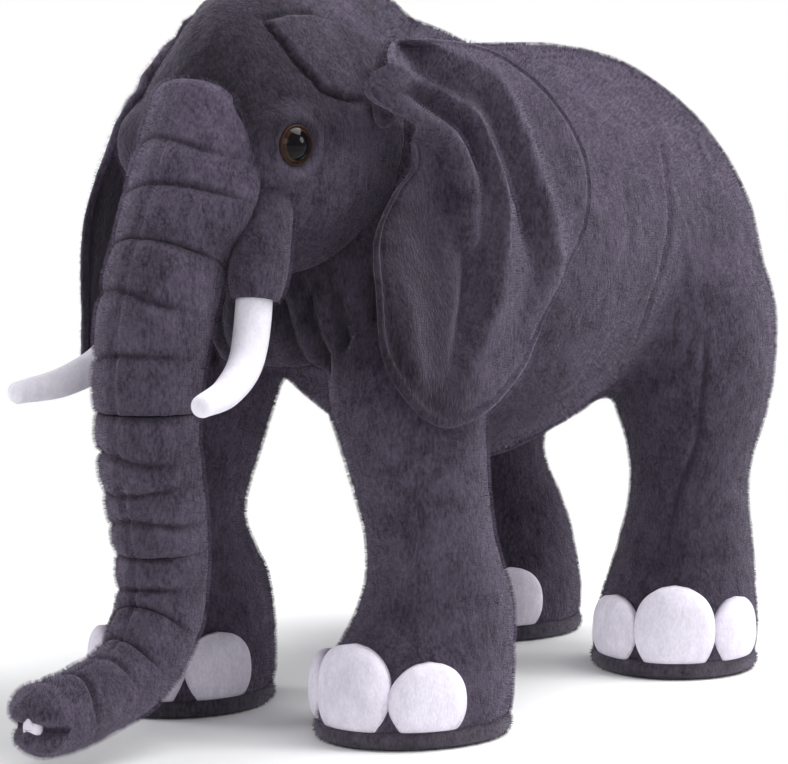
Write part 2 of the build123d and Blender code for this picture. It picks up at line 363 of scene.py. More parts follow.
def plush(name, dark, light, bump=0.5, sheen=0.35, scale=520.0, roughness=0.95):
    """Short pile: strands seen from above, with painted sheen where the nap turns and painted shade between
    the clumps.
    """
    mat = bpy.data.materials.new(name)
    mat.use_nodes = True
    t = mat.node_tree
    bsdf = t.nodes["Principled BSDF"]
    where = node(t, "ShaderNodeTexCoord")
    strands = node(t, "ShaderNodeTexNoise", Scale=scale, Detail=4.0, Roughness=0.65)
    clumps = node(t, "ShaderNodeTexNoise", Scale=130.0, Detail=3.0, Roughness=0.6)
    nap = node(t, "ShaderNodeTexNoise", Scale=22.0, Detail=3.0, Roughness=0.55, Distortion=0.6)
    squeeze = node(t, "ShaderNodeMapping")
    squeeze.inputs["Scale"].default_value = (1.0, 1.0, 0.45)
    t.links.new(where.outputs["Object"], squeeze.inputs["Vector"])
    for n in (strands, clumps):
        t.links.new(squeeze.outputs["Vector"], n.inputs["Vector"])
    t.links.new(where.outputs["Object"], nap.inputs["Vector"])
    # the tone attribute brings in each piece's painted shade and painted light
    tone = node(t, "ShaderNodeAttribute", attribute_name="tone")
    add1 = node(t, "ShaderNodeMath", operation="MULTIPLY_ADD")
    t.links.new(strands.outputs["Fac"], add1.inputs[0])
    add1.inputs[1].default_value = 0.9
    add1.inputs[2].default_value = -0.45
    add2 = node(t, "ShaderNodeMath", operation="MULTIPLY_ADD")
    t.links.new(clumps.outputs["Fac"], add2.inputs[0])
    add2.inputs[1].default_value = 0.7
    t.links.new(add1.outputs[0], add2.inputs[2])
    add3 = node(t, "ShaderNodeMath", operation="MULTIPLY_ADD")
    t.links.new(nap.outputs["Fac"], add3.inputs[0])
    add3.inputs[1].default_value = 0.55
    t.links.new(add2.outputs[0], add3.inputs[2])
    shades = node(t, "ShaderNodeValToRGB")
    shades.color_ramp.elements[0].position = 0.30
    shades.color_ramp.elements[0].color = (*dark, 1)
    shades.color_ramp.elements[1].position = 0.95
    shades.color_ramp.elements[1].color = (*light, 1)
    t.links.new(add3.outputs[0], shades.inputs["Fac"])
    toned = node(t, "ShaderNodeMix", data_type="RGBA", blend_type="MULTIPLY")
    toned.inputs["Factor"].default_value = 1.0
    t.links.new(shades.outputs["Color"], toned.inputs[6])
    double = node(t, "ShaderNodeMath", operation="MULTIPLY")
    double.inputs[1].default_value = 2.0
    t.links.new(tone.outputs["Fac"], double.inputs[0])
    t.links.new(double.outputs[0], toned.inputs[7])
    t.links.new(toned.outputs[2], bsdf.inputs["Base Color"])
    bsdf.inputs["Roughness"].default_value = roughness
    bsdf.inputs["Specular IOR Level"].default_value = 0.15
    bsdf.inputs["Sheen Weight"].default_value = sheen
    bsdf.inputs["Sheen Roughness"].default_value = 0.45
    bsdf.inputs["Sheen Tint"].default_value = (0.75, 0.70, 0.85, 1)
    raised = node(t, "ShaderNodeBump", Strength=bump, Distance=0.0022)
    t.links.new(add2.outputs[0], raised.inputs["Height"])
    t.links.new(raised.outputs["Normal"], bsdf.inputs["Normal"])
    return mat


def strands_of(name, root, tip):
    """Single strands of pile: painted shade darkens them towards the root, and they let some light through.
    """
    mat = bpy.data.materials.new(name)
    mat.use_nodes = True
    t = mat.node_tree
    t.nodes.remove(t.nodes["Principled BSDF"])
    info = node(t, "ShaderNodeHairInfo")
    where = node(t, "ShaderNodeTexCoord")
    nap = node(t, "ShaderNodeTexNoise", Scale=30.0, Detail=3.0, Roughness=0.6, Distortion=0.6)
    t.links.new(where.outputs["Object"], nap.inputs["Vector"])
    total = node(t, "ShaderNodeMath", operation="MULTIPLY_ADD")
    t.links.new(info.outputs["Intercept"], total.inputs[0])
    total.inputs[1].default_value = 0.55
    t.links.new(nap.outputs["Fac"], total.inputs[2])
    each = node(t, "ShaderNodeMath", operation="MULTIPLY_ADD")
    t.links.new(info.outputs["Random"], each.inputs[0])
    each.inputs[1].default_value = 0.70
    t.links.new(total.outputs[0], each.inputs[2])
    scaled = node(t, "ShaderNodeMath", operation="MULTIPLY")
    scaled.inputs[1].default_value = 0.60
    t.links.new(each.outputs[0], scaled.inputs[0])
    shades = node(t, "ShaderNodeValToRGB")
    shades.color_ramp.elements[0].position = 0.42
    shades.color_ramp.elements[0].color = (*root, 1)
    shades.color_ramp.elements[1].position = 1.0
    shades.color_ramp.elements[1].color = (*tip, 1)
    t.links.new(scaled.outputs[0], shades.inputs["Fac"])
    # the tone attribute brings in each piece's painted shade and painted light
    tone = node(t, "ShaderNodeAttribute", attribute_name="tone")
    double = node(t, "ShaderNodeMath", operation="MULTIPLY")
    double.inputs[1].default_value = 2.0
    t.links.new(tone.outputs["Fac"], double.inputs[0])
    toned = node(t, "ShaderNodeMix", data_type="RGBA", blend_type="MULTIPLY")
    toned.inputs["Factor"].default_value = 1.0
    t.links.new(shades.outputs["Color"], toned.inputs[6])
    t.links.new(double.outputs[0], toned.inputs[7])
    body, through = node(t, "ShaderNodeBsdfDiffuse"), node(t, "ShaderNodeBsdfTranslucent")
    both = node(t, "ShaderNodeMixShader")
    both.inputs[0].default_value = 0.5
    for k, shader in enumerate((body, through)):
        t.links.new(toned.outputs[2], shader.inputs["Color"])
        t.links.new(shader.outputs[0], both.inputs[1 + k])
    t.links.new(both.outputs[0], t.nodes["Material Output"].inputs["Surface"])
    return mat


def plain(name, colour, roughness=0.5, metallic=0.0, coat=0.0, grain=300.0, depth=0.06):
    mat = bpy.data.materials.new(name)
    mat.use_nodes = True
    t = mat.node_tree
    bsdf = t.nodes["Principled BSDF"]
    where = node(t, "ShaderNodeTexCoord")
    noise = node(t, "ShaderNodeTexNoise", Scale=grain, Detail=3.0)
    t.links.new(where.outputs["Object"], noise.inputs["Vector"])
    shades = node(t, "ShaderNodeValToRGB")
    shades.color_ramp.elements[0].position = 0.3
    shades.color_ramp.elements[1].position = 0.7
    shades.color_ramp.elements[0].color = (*[v * (1 - depth) for v in colour], 1)
    shades.color_ramp.elements[1].color = (*[min(1, v * (1 + depth)) for v in colour], 1)
    t.links.new(noise.outputs["Fac"], shades.inputs["Fac"])
    t.links.new(shades.outputs["Color"], bsdf.inputs["Base Color"])
    bsdf.inputs["Roughness"].default_value = roughness
    bsdf.inputs["Metallic"].default_value = metallic
    bsdf.inputs["Coat Weight"].default_value = coat
    bsdf.inputs["Coat Roughness"].default_value = 0.03
    return mat


GREY = plush("grey_plush", (0.020, 0.015, 0.025), (0.110, 0.089, 0.130))
SOLE_CLOTH = plush("sole_fabric", (0.022, 0.018, 0.025), (0.095, 0.082, 0.105), bump=0.35)
NAIL_WHITE = plush("nail_plush", (0.60, 0.56, 0.65), (0.86, 0.82, 0.92), bump=0.22, sheen=0.15, scale=700.0)
TUSK_WHITE = plush("tusk_plush", (0.70, 0.67, 0.76), (0.90, 0.87, 0.94), bump=0.12, sheen=0.1, scale=700.0)


# pile strands per square metre, their length and radius in metres
# the root colours are painted shade deep in the pile
GREY_STRANDS = strands_of("grey_strands", (0.010, 0.007, 0.012), (0.290, 0.236, 0.342))
SOLE_STRANDS = strands_of("sole_strands", (0.012, 0.010, 0.014), (0.180, 0.155, 0.195))
PILE = {GREY: (520000, 0.0027, 0.00017, GREY_STRANDS), SOLE_CLOTH: (300000, 0.0020, 0.00017, SOLE_STRANDS)}


def finish_piece(obj, body, material, nodes):
    obj.data.materials.clear()
    obj.data.materials.append(material)
    if "tone" not in obj.data.color_attributes:
        set_tone(obj, np.ones(len(obj.data.vertices)))
    if body:
        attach(obj, body)
    if nodes:
        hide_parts(*nodes)
    if material in PILE:
        add_pile(obj, *PILE[material])
    return obj


# ---- torso and legs -----------------------------------------------------------------------------
# y, height of the middle, half width and half height
TORSO = [
    (-152, 300, 26, 30), (-138, 306, 66, 56), (-105, 330, 98, 86), (-55, 350, 121, 124),
    (0, 338, 134, 145), (60, 314, 141, 149), (120, 318, 142, 146), (180, 327, 140, 138),
    (240, 328, 138, 131), (290, 317, 128, 119), (330, 303, 104, 100), (356, 293, 72, 74),
    (370, 286, 34, 36),
]
HEAD = [
    (-224, 400, 24, 26), (-215, 401, 48, 52), (-196, 404, 68, 76), (-165, 408, 82, 96), (-120, 410, 90, 106),
    (-65, 408, 88, 107), (-10, 402, 80, 96), (25, 396, 68, 78),
]
# height, how far out and back from the foot, half width and half length
FRONT_LEG = [
    (8, 0, 0, 60, 72), (28, 0, 2, 61, 73), (55, 2, 11, 57, 64), (85, 5, 21, 51, 54), (130, 8, 10, 43, 44),
    (180, -2, 8, 47, 48), (232, -13, 10, 52, 54), (266, -19, 18, 47, 48), (300, -26, 32, 38, 36),
]
HIND_LEG = [
    (8, 0, 0, 60, 70), (28, 0, 2, 61, 71), (55, 0, 8, 57, 62), (90, 2, 12, 50, 52), (150, 12, 2, 44, 45),
    (200, 10, 7, 57, 61), (250, 4, 11, 66, 74), (290, -2, 12, 66, 74), (330, -20, 8, 50, 56),
]
# foot on the floor, the leg's rows and the turn of its toes in degrees
FEET = {
    "front_left": ((100, -103), FRONT_LEG, -4),
    "front_right": ((-100, -103), FRONT_LEG, 14),
    "hind_left": ((100, 234), HIND_LEG, 32),
    "hind_right": ((-100, 292), HIND_LEG, -6),
}
FOOT_HALF_W, FOOT_HALF_L, SOLE_TOP = 60.0, 71.0, 12.5

# line, depth, half width and the swell beside it, for the left side and its mirror image
BODY_SEAMS = [
    ([
        (114, 182, 405), (127, 171, 385), (136, 163, 360), (141, 155, 326),
        (140, 146, 301), (136, 139, 279), (127, 139, 259), (116, 141, 239),
    ], 1.6, 2.4, 0.8),
    ([
        (136, 182, 352), (142, 187, 325), (148, 190, 300), (153, 190, 270), (152, 190, 238),
        (147, 193, 205), (142, 196, 176), (128, 196, 141), (117, 198, 102), (121, 190, 67),
    ], 2.0, 2.0, 0.8),
    ([(22, -152, 302), (30, -150, 280), (32, -141, 259), (28, -120, 240)], 4.0, 3.4, 2.2),
    ([(45, -147, 302), (48, -145, 280), (48, -134, 259), (52, -126, 242)], 4.5, 3.4, 2.2),
    ([(64, -140, 304), (65, -137, 284), (66, -131, 263), (72, -132, 247)], 4.0, 3.2, 2.0),
    ([(80, -124, 318), (84, -122, 296), (84, -120, 272), (86, -122, 250)], 3.5, 3.0, 1.6),
]
# the round of each haunch: y from the hind foot, then height, half width and half height
HAUNCH = [(-44, 304, 28, 44), (-20, 308, 53, 78), (28, 308, 61, 92), (66, 302, 47, 68), (88, 294, 22, 32)]
HAUNCH_OUT = 86.0
forms = [lengthwise("torso_form", TORSO)]
for foot_name, (foot, rows, turn) in FEET.items():
    forms.append(upright(f"leg_form_{foot_name}", rows, foot, turn))
for sign, (_, y) in ((1, FEET["hind_left"][0]), (-1, FEET["hind_right"][0])):
    haunch = lengthwise("haunch_form", [(y + row[0], *row[1:]) for row in HAUNCH])
    haunch.data.transform(Matrix.Translation((sign * HAUNCH_OUT * MM, 0, 0)))
    forms.append(haunch)


def at_haunch(points):
    """1 where the hind legs run into the rump."""
    return ramp(np.abs(points[:, 0]), 40, 70) * ramp(points[:, 1], 150, 200) * ramp(points[:, 2], 215, 260)


torso = fused("body_plush", forms, 9, soft=at_haunch)
co, no = read(torso)
tone = np.ones(len(co))
for line, depth, width, puff in BODY_SEAMS:
    for sign in (1, -1):
        path = polyline(line) * np.array([sign, 1, 1])
        co, near = crease(co, no, path, depth, width, puff)
        # painted shade along each crease, darker where the crease is deeper
        tone -= 0.10 * depth * near
write(torso, co)
co, no = read(torso)
co = pile_lumps(co, no, 0.60)
write(torso, co)
# the neck lies in the shade of the cheeks
tone *= 1 - 0.38 * ramp(-co[:, 1], 88, 122) * ramp(co[:, 2], 228, 262)
# painted shade on the lower hind legs and rear
tone *= 1 - 0.18 * ramp(co[:, 1], 130, 170) * (1 - ramp(co[:, 2], 190, 260))
set_tone(torso, tone)
finish_piece(torso, "body", GREY,
             ["torso_skin", "torso_fill"] + [f"leg_{k}_{n}" for n in FEET for k in ("skin", "fill")])

# ---- head ---------------------------------------------------------------------------------------
# y and z round the leaf of pile over each eye, and of the cheek's edge
BROW = np.array([
    (-176, 478), (-173, 455), (-164, 434), (-148, 428), (-122, 429), (-110, 447), (-90, 465), (-117, 477),
    (-142, 482), (-160, 482), (-176, 478),
], float)
CHEEK_EDGE = np.array([
    (-152, 296), (-148, 304), (-138, 313), (-132, 321), (-118, 344), (-107, 366), (-100, 400), (-97, 440),
], float)
CROWN_SEAM = [
    (0, -226, 452), (8, -220, 459), (16, -206, 470), (25, -190, 481), (33, -168, 490), (40, -140, 496),
]
EYE_AT = np.array([71.5, -194.0, 398.0])
EYE_TURN = math.radians(77)
EYE_OUT = np.array([math.sin(EYE_TURN), -math.cos(EYE_TURN), 0.0])
FOREHEAD_ROWS = polyline([
    (0, -205, 385, 27), (0, -197, 402, 32), (0, -185, 433, 37),
    (0, -167, 455, 39), (0, -138, 470, 38), (0, -105, 474, 34),
], 40)
FOREHEAD = FOREHEAD_ROWS[:, :3], FOREHEAD_ROWS[:, 3]
head = fused("head_plush", [
    lengthwise("head_form", HEAD, power=2.6, egg=0.40),
    tube("forehead_form", *FOREHEAD),
], 5)
co, no = read(head)
away = np.abs(co[:, 0])
# the cheek stands over the neck along its lower and rear edge
edge_y = np.interp(co[:, 2], CHEEK_EDGE[:, 1], CHEEK_EDGE[:, 0])
behind = (co[:, 1] - edge_y) * ramp(away, 12, 24)
low = 1 - ramp(co[:, 2], 405, 440)
co = co - no * (15.0 * ramp(behind, 0, 7) * low)[:, None]
# painted shade on the head under the cheek's overhanging edge
tone = 1 - 0.45 * ramp(behind, 0, 8) * low
# the leaf of pile over the eye
d = side_of(co[:, 1], co[:, 2], BROW)
inside = ramp(d, -0.6, 1.6) * ramp(away, 18, 26)
fore = 1 - ramp(co[:, 1], -150, -125)
co = co + no * ((1.0 + 2.2 * fore) * inside - 1.6 * fore * gauss(d + 1.6, 1.8) * ramp(away, 18, 26))[:, None]
# painted shadow under the leaf's lower front edge, and painted shade that darkens the leaf itself
under = gauss(np.minimum(d + 2.0, 0.0), 3.0) * (d < 0.5) * ramp(away, 18, 26)
under = under * (1 - ramp(co[:, 1], -150, -110))
tone = tone * (1 - 0.45 * under) * (1 - 0.32 * inside)
write(head, co)
co, no = read(head)
for sign in (1, -1):
    flip = np.array([sign, 1, 1])
    co, near = crease(co, no, polyline(CROWN_SEAM) * flip, 2.0, 2.2, 0.7, fade=0.02)
    # painted shade along the crown seam's crease
    tone -= 0.30 * near
    out = EYE_OUT * flip
    off = co - EYE_AT * flip
    gap = np.linalg.norm(off, axis=1)
    level = off @ out
    co = co - out * ((level + 0.6) * (1 - ramp(gap, 15, 34)))[:, None]
    co = co - out * (2.4 * gauss(gap - 12.0, 3.4) - 1.4 * gauss(gap - 19.0, 3.5))[:, None]
co = pile_lumps(co, no, 0.60)
write(head, co)
# painted shade: the forehead, where the nap lies the other way, is darkened
forehead = ramp(-co[:, 1], 130, 170) * ramp(co[:, 2], 385, 415) * (1 - inside)
set_tone(head, tone * (1 - 0.60 * forehead))
finish_piece(head, "body", GREY, ["head_skin", "head_fill"])

# ---- trunk --------------------------------------------------------------------------------------
# y, z and radius down the trunk; creases, cuts and the stretches in TRUNK_PARTS are places along it
TRUNK = np.array([
    (-189, 437, 36), (-203, 402, 36), (-219, 362, 37), (-235, 327, 38), (-251, 288, 38), (-260, 244, 35.5),
    (-260, 205, 33.5), (-252, 164, 32), (-246, 124, 30), (-252, 86, 28), (-277, 56, 26), (-318, 43, 24.5),
    (-358, 37, 23), (-376, 37, 19), (-384, 37, 10),
], float)
TRUNK_STEP = np.r_[0, np.cumsum(np.hypot(*np.diff(TRUNK[:, :2], axis=0).T))]
TRUNK_CREASES = [50, 81, 123, 156, 190, 226, 249, 270, 293, 319, 343, 364, 399, 430, 465]
TRUNK_CUTS = [2, 123, 226, 319, TRUNK_STEP[-1]]
TRUNK_TOP = 17.0          # length over which the trunk's panel rounds over at its top
TRUNK_AROUND = 96
TRUNK_STRIDE = 1.6


def trunk_ring(s, around=TRUNK_AROUND):
    """Rings of the trunk's surface at arc lengths s, with its puffs, ring creases and front seam."""
    y, z, r = curve_through(TRUNK_STEP, TRUNK, s).T
    d = curve_through(TRUNK_STEP, TRUNK, s + 0.5) - curve_through(TRUNK_STEP, TRUNK, s - 0.5)
    t = d[:, :2] / np.linalg.norm(d[:, :2], axis=1)[:, None]
    # the front normal is square to the trunk's run, on its outside
    fy, fz = t[:, 1], -t[:, 0]
    angle = np.linspace(0, 2 * math.pi, around, endpoint=False)
    side, front = np.sin(angle), np.cos(angle)
    gap = np.abs(s[:, None] - np.array(TRUNK_CREASES)[None, :])
    which = gap.argmin(axis=1)
    wander = 3.4 * np.sin(angle[None, :] * 2.0 + which[:, None] * 2.1) + 5.0 * np.abs(side)[None, :] ** 1.5
    held = ramp(np.min(np.abs(s[:, None] - np.array(TRUNK_CUTS)[None, :]), axis=1), 0, 14)[:, None]
    near = np.abs(s[:, None] - wander * 0.8 * held - np.array(TRUNK_CREASES)[which][:, None])
    reach = 0.5 + 0.5 * np.sin(which[:, None] * 4.3 + np.sign(side)[None, :] * 1.7)
    strength = 0.18 + 0.82 * ramp(front[None, :], -0.35 + 0.7 * reach, 0.55 + 0.4 * reach)
    swell = 2.0 * np.clip(near / 11.0, 0, 1) ** 0.6
    cut = 2.0 * gauss(near, 1.9)
    grow = (swell - cut - 1.2) * strength
    seam = 2.0 * gauss(np.abs(angle - math.pi) - math.pi, 0.075)
    seam = seam * ramp(s, 30, 60)[:, None] * (1 - ramp(s, 440, 480))[:, None]
    end = (1 - ramp(s, 470, 505))[:, None]
    radius = r[:, None] + (grow - seam) * end
    if s[0] < TRUNK_TOP:
        short = (TRUNK_TOP - np.minimum(s, TRUNK_TOP)) / TRUNK_TOP
        radius = radius * np.sqrt(np.clip(1 - short ** 2, 0.02, 1))[:, None]
    points = np.empty((len(s), around, 3))
    # the top of the trunk spreads over the face
    spread = gauss(front, 0.62) * np.where(side > 0, 0.50, 0.30)
    high = (0.30 + 0.70 * ramp(s, 2, 40)) * (1 - ramp(s, 78, 128))
    points[:, :, 0] = radius * side * (1 + spread[None, :] * high[:, None])
    points[:, :, 1] = y[:, None] - radius * front * (-fy)[:, None]
    points[:, :, 2] = z[:, None] + radius * front * fz[:, None]
    # the second result is painted shade along the ring creases
    return points, gauss(near, 3.0) * strength * end


# each part of the trunk, the two bodies it lies between, and where along the trunk a stretch of it starts and
# ends
TRUNK_PARTS = [
    ("root", None, None),
    ("upper", ("body", "trunk_upper"), (132, 195)),
    ("middle", ("trunk_upper", "trunk_middle"), (234, 300)),
    ("tip", ("trunk_middle", "trunk_tip"), (327, 392)),
]


for k, (name, holders, turn) in enumerate(TRUNK_PARTS):
    low, high = TRUNK_CUTS[k], TRUNK_CUTS[k + 1]
    s = np.arange(low, high + 0.01, TRUNK_STRIDE)
    rings, dark = trunk_ring(s)
    piece = ring_object(f"trunk_plush_{name}", rings)
    co, no = read(piece)
    tone = np.ones(len(co))
    # painted shade in the ring creases
    tone[:len(s) * TRUNK_AROUND] -= 0.45 * dark.ravel()
    # painted light: the trunk is brightened, most towards its top
    tone *= 1.12 + 0.28 * ramp(co[:, 2], 330, 385)
    co = pile_lumps(co, no, 0.4)
    if name == "tip":
        notch = gauss(co[:, 2] - 33.0, 4.5) * ramp(-co[:, 1], 362, 380)
        co[:, 1] += 15.0 * notch
        co[:, 2] += 3.5 * ramp(co[:, 2], 38, 46) * ramp(-co[:, 1], 355, 380)
    write(piece, co)
    set_tone(piece, tone)
    nodes = [f"trunk_skin_{name}", f"trunk_fill_{name}"]
    finish_piece(piece, None if holders else "body", GREY, nodes)
    if holders:
        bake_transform(piece)

# ---- ears ---------------------------------------------------------------------------------------
# outlines and folds lie in the ear's own plane: x to the rear, y up, from EAR_ORIGIN
EAR_ORIGIN = np.array([134.0, -90.0, 350.0])
EAR_Z = np.array([1, -0.22, 0.15]) / np.linalg.norm([1, -0.22, 0.15])
EAR_X = np.array([0.22, 1, 0]) / np.linalg.norm([0.22, 1, 0])
EAR_Y = np.cross(EAR_Z, EAR_X)
EAR_RIM = [
    (-56, 114), (-18, 117), (44, 109), (94, 76), (119, 30), (112, -10), (80, -48),
    (32, -108), (-12, -136), (-40, -139), (-70, -120), (-86, -90), (-84, -50), (-73, -10), (-52, 17),
    (-31, 40), (-37, 57), (-58, 70), (-75, 82),
]
EAR_ROOT = [(91, -112, 468, 9.0), (93, -119, 452, 11.5), (95, -127, 430, 11.5), (97, -133, 408, 9.0)]
EAR_FRONT_WHOLE = [(-70, -114), (-86, -66), (-88, -16), (-84, 34), (-74, 84)]
EAR_MIDDLE = np.array([25.0, 30.0])
EAR_AROUND, EAR_INWARD = 260, 70
EAR_HALF = 5.0                              # half of its thickness
EAR_REACH = 110.0                           # rough way from the middle to the rim
EAR_TUCK = {"left": 12.0, "right": 5.0}     # how deep the front goes in under the lip
ROOT_SIZE = {"left": 0.78, "right": 1.0}
LIP = [(-80, 84), (-66, 76), (-48, 66), (-30, 57), (-14, 47), (-6, 26), (-4, 0)]
LIP_ROLL = [(-66, 92), (-44, 72), (-16, 54), (0, 34), (8, 10), (6, -16)]
RIDGE_1 = [
    (-66, 96), (-42, 92), (-14, 79), (5, 67), (17, 43), (22, 14), (17, -18), (7, -50), (-6, -82), (-24, -112),
]
RIDGE_2 = [(-22, 110), (2, 102), (27, 88), (43, 58), (54, 29), (67, -8), (66, -40), (50, -66), (24, -92)]


def in_plane(line, count=40):
    """A smooth line in the ear's plane."""
    return polyline(np.c_[line, np.zeros(len(line))], count)[:, :2]


def ear_height(x, y, tucked):
    """How far the ear's folds stand out of its flat plane."""
    h = np.zeros_like(x)
    d = -side_of(x, y, in_plane(RIDGE_1))
    fall = ramp(y, -125, -60)
    front = 15.0 * np.exp(-(np.minimum(d, 0) / 24.0) ** 2)
    rear = 15.0 * np.exp(-(np.maximum(d, 0) / 6.0) ** 2)
    h += np.where(d < 0, front, rear) * fall * (1 - 0.3 * ramp(y, 60, 110))
    h -= 7.0 * gauss(d - 12.0, 7.0) * fall
    e = -side_of(x, y, in_plane(RIDGE_2))
    fall = ramp(y, -90, -30)
    ahead = 11.0 * np.exp(-(np.minimum(e, 0) / 15.0) ** 2)
    beyond = 11.0 * np.exp(-(np.maximum(e, 0) / 9.0) ** 2)
    h += np.where(e < 0, ahead, beyond) * fall
    h -= 9.0 * gauss(e - 20.0, 11.0) * ramp(y, -50, 10)
    under = side_of(x, y, in_plane(LIP))
    below = ramp(-under, 0, 7) * ramp(y, -78, 18) * (1 - ramp(x, -8, 6))
    h -= tucked * below
    h -= 4.0 * gauss(np.hypot(x + 30, (y + 25) * 0.45), 15.0)
    # the lip is a fat roll, and the lobe's front edge curls out a little
    near, _ = distance_to(np.c_[x, y], in_plane(LIP_ROLL, 60))
    h += 9.0 * gauss(near, 11.0)
    h += 5.0 * gauss(x + 66.0, 13.0) * ramp(-y, 20, 60) * (1 - ramp(-y, 100, 135))
    h += 4.0 * np.sin(y / 21.0 + 0.8) * ramp(-y, 40, 120) * ramp(x + 80, 0, 60)
    return h


def ear(side):
    """Two padded layers over the folds, sharing their rim. The left one's front turns in under its lip."""
    outline = EAR_RIM if side == "left" else EAR_RIM[:10] + EAR_FRONT_WHOLE
    rim = np.array(outline + outline[:1], float)
    step = np.r_[0, np.cumsum(np.hypot(*np.diff(rim, axis=0).T))]
    around, inward = EAR_AROUND, EAR_INWARD
    wrapped = np.vstack([rim[-3:-1], rim, rim[1:3]])
    knots = np.r_[step[-3] - step[-1], step[-2] - step[-1], step, step[-1] + step[1], step[-1] + step[2]]
    edge = curve_through(knots, wrapped, np.linspace(0, step[-1], around, endpoint=False))
    share = np.sin(np.linspace(0, math.pi / 2, inward + 1)[1:]) ** 0.9
    flat = EAR_MIDDLE + share[:, None, None] * (edge - EAR_MIDDLE)[None, :, :]
    x, y = flat[..., 0].ravel(), flat[..., 1].ravel()
    x, y = np.r_[x, EAR_MIDDLE[0]], np.r_[y, EAR_MIDDLE[1]]
    rho = np.r_[np.repeat(share, around), 0.0]
    h = ear_height(x, y, EAR_TUCK[side])
    if side == "right":
        h *= 1 - 0.75 * ramp(y, 50, 95)
        h += 12.0 * gauss(y + 5.0, 50.0) - 20.0 * ramp(y, 55, 105)
    # thickness falls to the sewn rim, which stands up as a thin welt
    half = EAR_HALF * np.sqrt(np.clip(1 - rho ** 9, 0, 1))
    rim_gap = (1 - rho) * EAR_REACH
    half += 0.9 * gauss(rim_gap - 2.0, 1.6) - 1.3 * gauss(rim_gap - 5.5, 2.4)
    half = np.where(rho >= 0.9999, 0.0, np.maximum(half, 0.4))
    outer = np.c_[x, y, h + half]
    inner = np.c_[x, y, h - half]
    n = len(x)
    faces = []
    for base in (0, n):
        for i in range(inward - 1):
            for j in range(around):
                k = (j + 1) % around
                a, b, c, d = (base + i * around + j, base + i * around + k,
                              base + (i + 1) * around + k, base + (i + 1) * around + j)
                faces.append((a, b, c, d) if base == 0 else (d, c, b, a))
        middle = base + n - 1
        for j in range(around):
            k = (j + 1) % around
            faces.append((middle, base + k, base + j) if base == 0 else (middle, base + j, base + k))
    # both sheets share the rim
    last = (inward - 1) * around
    faces = [tuple(v - n if v >= n and last <= v - n < last + around else v for v in f) for f in faces]
    used = sorted({v for f in faces for v in f})
    index = {v: i for i, v in enumerate(used)}
    local = np.vstack([outer, inner])[used]
    faces = [tuple(index[v] for v in f) for f in faces]
    world = EAR_ORIGIN + local[:, :1] * EAR_X + local[:, 1:2] * EAR_Y + local[:, 2:] * EAR_Z
    if side == "right":
        world[:, 0] *= -1
    obj = mesh_object(f"ear_plush_{side}", world, faces)
    co, no = read(obj)
    co = pile_lumps(co, no, 0.35)
    write(obj, co)
    rim_gap = (1 - np.r_[rho, rho][used]) * EAR_REACH
    lx, ly = np.r_[x, x][used], np.r_[y, y][used]
    # painted shade on the lobe's lower front, and a painted highlight along the sewn rim
    shade = 1 - 0.60 * (1 - ramp(lx, -40, 5)) * (1 - ramp(ly, 0, 45))
    set_tone(obj, shade * (1 + 0.25 * gauss(rim_gap, 2.2)))
    return obj


for side in ("left", "right"):
    piece = ear(side)
    finish_piece(piece, f"ear_{side}", GREY, [f"ear_skin_{side}", f"ear_wadding_{side}"])
    # the sewn root, a roll between the ear and the head that turns on its own middle
    flip = np.array([1 if side == "left" else -1, 1, 1])
    rows = polyline(EAR_ROOT, 40)
    rows[:, 3] *= np.sqrt(np.clip(1 - np.linspace(-1, 1, 40) ** 6, 0.01, 1)) * ROOT_SIZE[side]
    root = tube(f"ear_root_plush_{side}", rows[:, :3] * flip, rows[:, 3], 40)
    co, no = read(root)
    co = pile_lumps(co, no, 0.4)
    write(root, co)
    # painted shade: the roll is darkened all over
    set_tone(root, np.full(len(co), 0.7))
    finish_piece(root, f"ear_{side}", GREY, [])

# ---- pouches and tusks --------------------------------------------------------------------------
# x, y, z and radius along each, on the left side
TUSK = [
    (51, -212, 322, 11.5), (53, -216, 290, 12.2), (58, -230, 259, 11.6),
    (68, -262, 242, 10), (78, -300, 236, 7.4),
]
POUCH = [
    (46, -180, 386, 12), (46, -186, 378, 15), (50, -199, 345, 17.5),
    (53, -213, 304, 17.5), (53.5, -214, 298, 15.5),
]
for side, sign in (("left", 1), ("right", -1)):
    flip = np.array([sign, 1, 1])
    rows = polyline(TUSK, 50)
    last = rows[-1].copy()
    ahead = rows[-1, :3] - rows[-2, :3]
    ahead /= np.linalg.norm(ahead)
    tips = []
    for a in np.linspace(0.15, 1.45, 8):
        tips.append([*(last[:3] + ahead * last[3] * math.sin(a) * 0.75), last[3] * math.cos(a)])
    rows = np.vstack([rows, tips])
    piece = tube(f"tusk_plush_{side}", rows[:, :3] * flip, rows[:, 3], 48)
    finish_piece(piece, "body", TUSK_WHITE, [f"tusk_{side}"])
    rows = polyline(POUCH, 50)
    piece = tube(f"pouch_plush_{side}", rows[:, :3] * flip, rows[:, 3], 64)
    co, no = read(piece)
    co = pile_lumps(co, no, 0.4)
    write(piece, co)
    finish_piece(piece, "body", GREY, [f"tusk_pouch_{side}"])

# ---- feet ---------------------------------------------------------------------------------------
# angle round the foot, half width and height
NAILS = [(-51.0, 29.0, 46.0), (0.0, 30.0, 57.0), (51.0, 29.0, 46.0)]
NAIL_PROUD = 7.5


def foot_frame(name):
    foot, _, turn = FEET[name]
    c, s = math.cos(math.radians(turn)), math.sin(math.radians(turn))
    return np.array([foot[0], foot[1], 0.0]), np.array([c, s, 0.0]), np.array([-s, c, 0.0])


